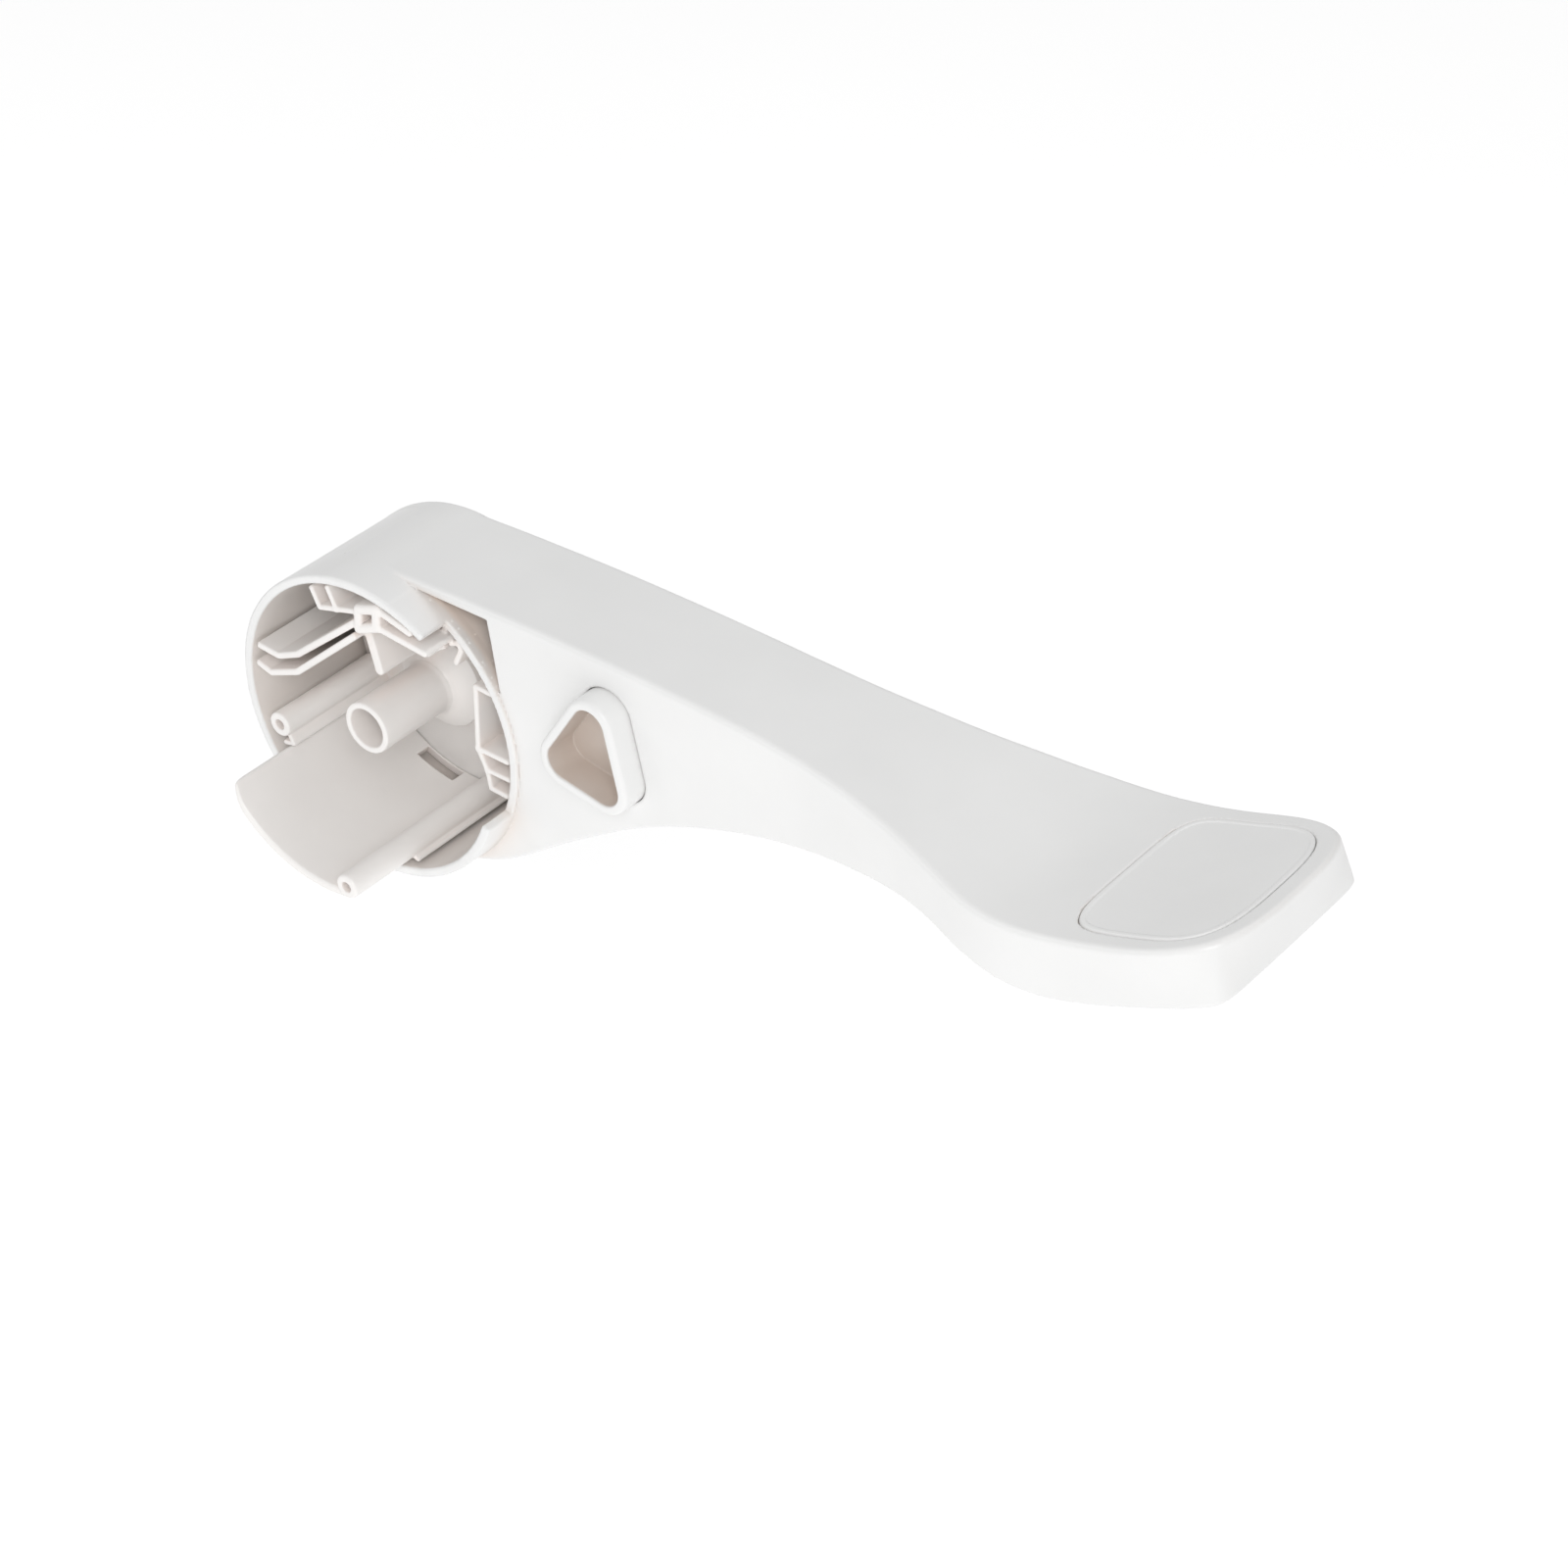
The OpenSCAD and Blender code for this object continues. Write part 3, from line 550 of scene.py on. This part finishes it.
def settle(field, verts, reach, rounds=3):
    """Moves vertices onto the field's zero surface."""
    for _ in range(rounds):
        d, g = slope_of(field, verts, 0.04)
        size = np.maximum((g * g).sum(1), 0.2)
        step = np.clip(d / size, -reach, reach)
        verts = verts - g * step[:, None]
    return verts


def settle_mesh(mesh, field):
    """Puts a thinned mesh back onto the field's zero surface, without its folds and slivers."""
    cleaned = bmesh.new()
    cleaned.from_mesh(mesh)
    bmesh.ops.dissolve_degenerate(cleaned, dist=SLIVER * MM, edges=cleaned.edges)
    bmesh.ops.triangulate(cleaned, faces=cleaned.faces)
    cleaned.to_mesh(mesh)
    cleaned.free()
    co = np.empty(len(mesh.vertices) * 3)
    mesh.vertices.foreach_get("co", co)
    p = settle(field, co.reshape(-1, 3) / MM, SETTLE_REACH)
    mesh.vertices.foreach_set("co", (p * MM).ravel())
    mesh.update()


def painted_occlusion_shade(field, p, normals):
    """Painted ambient-occlusion shade, from how enclosed each point is: 0 on an open face, 1 deep
    in a hollow.
    """
    closed = np.zeros(len(p))
    for reach, weight in ((1.2, 0.25), (3.0, 0.35), (6.5, 0.4)):
        free = field(*(p + normals * reach).T) / reach
        closed += weight * np.clip(1 - free, 0, 1)
    return np.clip(closed, 0, 1)


def finish_surface(mesh, field, painted_shade_mask):
    """Smooth normals taken from the field itself, and the painted shade depth that materials
    read.
    """
    co = np.empty(len(mesh.vertices) * 3)
    mesh.vertices.foreach_get("co", co)
    p = co.reshape(-1, 3) / MM
    _, g = slope_of(field, p, 0.06)
    g /= np.maximum(np.linalg.norm(g, axis=1), 1e-9)[:, None]
    mesh.shade_smooth()
    mesh.normals_split_custom_set_from_vertices(g.tolist())
    # Painted shade: the depth attribute is how enclosed each point is, plus the extra painted
    # shade given for chosen points
    depth = painted_occlusion_shade(field, p, g)
    if painted_shade_mask:
        depth = np.clip(0.6 * depth + painted_shade_mask(*p.T), 0, 1)
    layer = mesh.attributes.new("depth", "FLOAT", "POINT")
    layer.data.foreach_set("value", depth.astype(np.float32))


def moulding(name, field, low, high, cell, faces, body, material, nodes, painted_shade_mask=None):
    """A moulded piece in place of CAD nodes: the field's surface, thinned where it is flat.

    low and high are the corners of the box that is searched, cell is the step of its grid,
    and faces is the number of triangles to keep. The last argument adds painted shade at chosen
    points.
    """
    cell *= COARSE
    verts, quads = net(field, low, high, cell)
    verts = settle(field, verts, cell * 0.5)
    mesh = bpy.data.meshes.new(name)
    mesh.from_pydata((verts * MM).tolist(), [], quads.tolist())
    obj = bpy.data.objects.new(name, mesh)
    bpy.context.scene.collection.objects.link(obj)
    triangles = 2 * len(quads)
    if triangles > faces:
        thin = obj.modifiers.new("thin", "DECIMATE")
        thin.ratio = faces / triangles
        thinned = bpy.data.meshes.new_from_object(
            obj.evaluated_get(bpy.context.evaluated_depsgraph_get()))
        obj.modifiers.clear()
        obj.data = thinned
        thinned.name = name
        settle_mesh(thinned, field)
    finish_surface(obj.data, field, painted_shade_mask)
    obj.data.materials.clear()
    obj.data.materials.append(material)
    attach(obj, body)
    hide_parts(*nodes)
    return obj


# ---- Materials: noise scales are per metre, and grain depths are in metres ----

CLOUD_SCALE = 70.0
GLOSS_SCALE = 260.0
LINE_SCALE = 900.0
MIX_A, MIX_B, MIX_RESULT = 6, 7, 2  # the Mix node's colour sockets


def new_material(name, colour, roughness):
    m = bpy.data.materials.new(name)
    m.use_nodes = True
    shader = m.node_tree.nodes["Principled BSDF"]
    shader.inputs["Base Color"].default_value = (*colour, 1)
    shader.inputs["Roughness"].default_value = roughness
    return m, m.node_tree, shader


def node(tree, kind, **sockets):
    n = tree.nodes.new(kind)
    for key, value in sockets.items():
        n.inputs[key].default_value = value
    return n


def object_noise(tree, scale, detail=3.0, stretch=(1, 1, 1)):
    where = tree.nodes.new("ShaderNodeTexCoord")
    shape = tree.nodes.new("ShaderNodeMapping")
    shape.inputs["Scale"].default_value = stretch
    tree.links.new(where.outputs["Object"], shape.inputs["Vector"])
    n = node(tree, "ShaderNodeTexNoise", Scale=scale, Detail=detail)
    tree.links.new(shape.outputs["Vector"], n.inputs["Vector"])
    return n.outputs["Fac"]


def ramp(tree, value, low, high):
    """Colours between low and high over the middle half of the value's range."""
    r = tree.nodes.new("ShaderNodeValToRGB")
    for stop, colour, place in zip(r.color_ramp.elements, (low, high), (0.25, 0.75)):
        stop.color = (*colour, 1)
        stop.position = place
    tree.links.new(value, r.inputs["Fac"])
    return r.outputs["Color"]


def spread(tree, value, low, high):
    """Carries a value's 0 to 1 over to low to high."""
    r = tree.nodes.new("ShaderNodeMapRange")
    r.inputs["To Min"].default_value = low
    r.inputs["To Max"].default_value = high
    tree.links.new(value, r.inputs["Value"])
    return r.outputs["Result"]


def bump(tree, shader, value, strength, distance):
    b = node(tree, "ShaderNodeBump", Strength=strength, Distance=distance)
    tree.links.new(value, b.inputs["Height"])
    tree.links.new(b.outputs["Normal"], shader.inputs["Normal"])


def plastic(name, low, high, rough, grain=2600.0, depth=0.000004, strength=0.35, inner=None):
    """Moulded plastic: faint cloudiness, uneven gloss and a fine spark-eroded grain.

    inner is painted shade: a darker, warmer colour mixed in by the depth attribute deep inside
    hollows, for shade and warm bounce light.
    """
    m, tree, shader = new_material(name, high, rough[0])
    cloud = ramp(tree, object_noise(tree, CLOUD_SCALE, 4.0), low, high)
    # Painted shade: the base colour darkens and warms towards inner as the depth attribute rises
    if inner:
        painted_shade_node = tree.nodes.new("ShaderNodeAttribute")
        painted_shade_node.attribute_name = "depth"
        painted_shade_colour = ramp(tree, object_noise(tree, CLOUD_SCALE, 4.0), inner, [1.04 * c for c in inner])
        mix = tree.nodes.new("ShaderNodeMix")
        mix.data_type = "RGBA"
        tree.links.new(painted_shade_node.outputs["Fac"], mix.inputs["Factor"])
        tree.links.new(cloud, mix.inputs[MIX_A])
        tree.links.new(painted_shade_colour, mix.inputs[MIX_B])
        cloud = mix.outputs[MIX_RESULT]
    tree.links.new(cloud, shader.inputs["Base Color"])
    gloss = object_noise(tree, GLOSS_SCALE, 3.0)
    tree.links.new(spread(tree, gloss, *rough), shader.inputs["Roughness"])
    bump(tree, shader, object_noise(tree, grain, 2.0), strength, depth)
    return m


def metal(name, low, high, rough, stretch):
    """Metal with fine drawn or turned lines along one way."""
    m, tree, shader = new_material(name, high, rough[0])
    shader.inputs["Metallic"].default_value = 1.0
    lines = object_noise(tree, LINE_SCALE, 4.0, stretch)
    tree.links.new(ramp(tree, lines, low, high), shader.inputs["Base Color"])
    tree.links.new(spread(tree, lines, *rough), shader.inputs["Roughness"])
    bump(tree, shader, lines, 0.3, 0.00001)
    return m


# inner is painted shade: a darker, warmer colour mixed in where the depth attribute marks a point
# as enclosed
SHELL = plastic("shell_white", (0.815, 0.815, 0.81), (0.845, 0.845, 0.84), (0.285, 0.41),
                inner=(0.80, 0.71, 0.645))
KNOB = plastic("knob_white", (0.815, 0.815, 0.81), (0.845, 0.845, 0.84), (0.285, 0.41),
               inner=(0.62, 0.545, 0.49))
CORE = plastic("core_white", (0.86, 0.835, 0.815), (0.90, 0.88, 0.86), (0.31, 0.51),
               inner=(0.87, 0.80, 0.76))
PAD = plastic("pad_white", (0.815, 0.815, 0.81), (0.845, 0.845, 0.84), (0.41, 0.61),
              grain=5200.0, depth=0.00002, strength=0.5)
NYLON = plastic("nylon", (0.70, 0.68, 0.62), (0.76, 0.74, 0.69), (0.34, 0.58))
RUBBER = plastic("rubber", (0.020, 0.020, 0.022), (0.032, 0.032, 0.034), (0.58, 0.88))
STEEL = metal("zinc_steel", (0.55, 0.56, 0.58), (0.70, 0.71, 0.73), (0.17, 0.50), (1, 1, 8))
SPRING = metal("spring_steel", (0.40, 0.41, 0.43), (0.55, 0.56, 0.58), (0.13, 0.41), (6, 6, 1))


# ---- Pieces ----

# Extra painted shade, added to the depth attribute, on the drum's bore, in the wedge opening and
# in the knob's hollow front
BORE_PAINTED_SHADE = 0.50
WEDGE_PAINTED_SHADE = 0.60
KNOB_PAINTED_SHADE = 0.85


def drum_painted_shade(x, y, z):
    """Painted shade on the drum's inner wall, and on the closed inside of the arm."""
    bore = (np.hypot(x, z) < BORE_R + 0.12) & (y < BACK_IN + 0.1) & (y > 0.35)
    wedge = (y > SIDE + 0.3) & (x > 4) & (x < 23.5) & (z > 10) & (np.hypot(x, z) > DRUM_R - 0.1)
    wedge &= (lever_top(x, z) < -0.6) & (lever_sides(x, y) < -0.5)
    return BORE_PAINTED_SHADE * bore + WEDGE_PAINTED_SHADE * wedge


def knob_painted_shade(x, y, z):
    """Painted shade in the knob's hollow front."""
    hollow = (knob_outline(x, z, KNOB_HOLE_R) < 0.25) & (y > KNOB_FRONT + 0.35)
    hollow &= y < KNOB_BACK - 1.05
    return KNOB_PAINTED_SHADE * hollow


moulding("lever_body", lever_field, (-26, -4.5, -26), (149.5, 36, 32.5), 0.4, 180000,
         "lever", SHELL, ["lever_shell"], drum_painted_shade)
moulding("underside", cover_field, (12, -3, -24), (148, 35, 22), 0.5, 60000,
         "lever", SHELL, ["underside_cover"])
moulding("grip_inlay", pad_field, (121, -1, 18), (146, 33, 31), 0.2, 60000,
         "lever", PAD, ["grip_pad"])
moulding("push_pull_knob", knob_field, (31, 0, 1), (51, 22, 24), 0.22, 60000,
         "knob", KNOB, ["lock_knob"], knob_painted_shade)
moulding("back_cap", cap_field, (-13, 25, -13), (13, 32, 13), 0.3, 24000,
         "lever", SHELL, ["hub_cap"])
moulding("core_frame", core_field, (-24, -1, -24), (24, 28, 24), 0.26, 170000,
         "hub", CORE, ["hub_core"])
moulding("tongue", tongue_field, (-21, -13, -24), (10, 24, -10), 0.26, 60000,
         "hub", CORE, ["locating_tongue"])

CAD_LOOKS = {
    "tongue_screws": STEEL, "keeper_block": STEEL, "stop_bumper": RUBBER,
    "thrust_washer": NYLON, "return_spring": SPRING, "pivot_washer": STEEL,
    "pivot_screw": STEEL, "cover_screws": STEEL, "pivot_bush": NYLON, "stop_pin": STEEL,
    "knob_guide": NYLON, "bolt_guide": NYLON, "detent_leaf": SPRING, "lock_bolt": STEEL,
    "bolt_drive_pin": STEEL}
for name, look in CAD_LOOKS.items():
    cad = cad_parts[name]
    cad.data.materials.clear()
    cad.data.materials.append(look)
    soften = cad.modifiers.new("edges", "BEVEL")
    soften.width = 0.00012
    soften.segments = 2
    soften.limit_method = "ANGLE"
    soften.angle_limit = math.radians(35)


# ---- Floor, light and camera, in metres and watts ----

CENTRE = (0.06, 0.012, 0.0)
FLOOR_Z = -0.14
FLOOR_GLOW = 0.3
SKY_GLOW = 0.54
CAMERA_AT = (0.32382, -0.31528, 0.31202)
CAMERA_LOOK = (-0.499, 0.6403, -0.5839)


def stage_floor():
    bpy.ops.mesh.primitive_plane_add(size=8, location=(0, 0, FLOOR_Z))
    floor = bpy.context.object
    floor.name = "floor"
    m, tree, shader = new_material("floor_white", (0.9, 0.9, 0.9), 0.8)
    cloud = object_noise(tree, 3.0, 3.0)
    tree.links.new(ramp(tree, cloud, (0.93, 0.93, 0.93), (0.95, 0.95, 0.95)),
                   shader.inputs["Base Color"])
    shader.inputs["Emission Color"].default_value = (1, 1, 1, 1)
    shader.inputs["Emission Strength"].default_value = FLOOR_GLOW
    floor.data.materials.append(m)


def soft_light(name, at, size, power):
    """A round lamp aimed at the latch's middle."""
    lamp = bpy.data.lights.new(name, "AREA")
    lamp.shape = "DISK"
    lamp.size = size
    lamp.energy = power
    obj = bpy.data.objects.new(name, lamp)
    bpy.context.scene.collection.objects.link(obj)
    obj.location = at
    aim = Vector(CENTRE) - Vector(at)
    obj.rotation_euler = aim.to_track_quat("-Z", "Y").to_euler()


def photo_camera():
    data = bpy.data.cameras.new("camera")
    data.lens = 85.0
    data.sensor_width = 36.0
    data.clip_start = 0.01
    cam = bpy.data.objects.new("camera", data)
    bpy.context.scene.collection.objects.link(cam)
    cam.location = CAMERA_AT
    cam.rotation_euler = Vector(CAMERA_LOOK).to_track_quat("-Z", "Y").to_euler()
    bpy.context.scene.camera = cam


stage_floor()
soft_light("key", (0.66, -0.75, 0.70), 0.6, 5.4)
soft_light("over", (0.1, 0.5, 1.2), 0.9, 2.0)
soft_light("left", (-0.9, -0.7, 0.8), 0.5, 1.5)
world = bpy.data.worlds.new("studio")
world.use_nodes = True
background = world.node_tree.nodes["Background"]
background.inputs["Color"].default_value = (1, 1, 1, 1)
background.inputs["Strength"].default_value = SKY_GLOW
bpy.context.scene.world = world
bpy.context.scene.view_settings.view_transform = "Standard"
photo_camera()
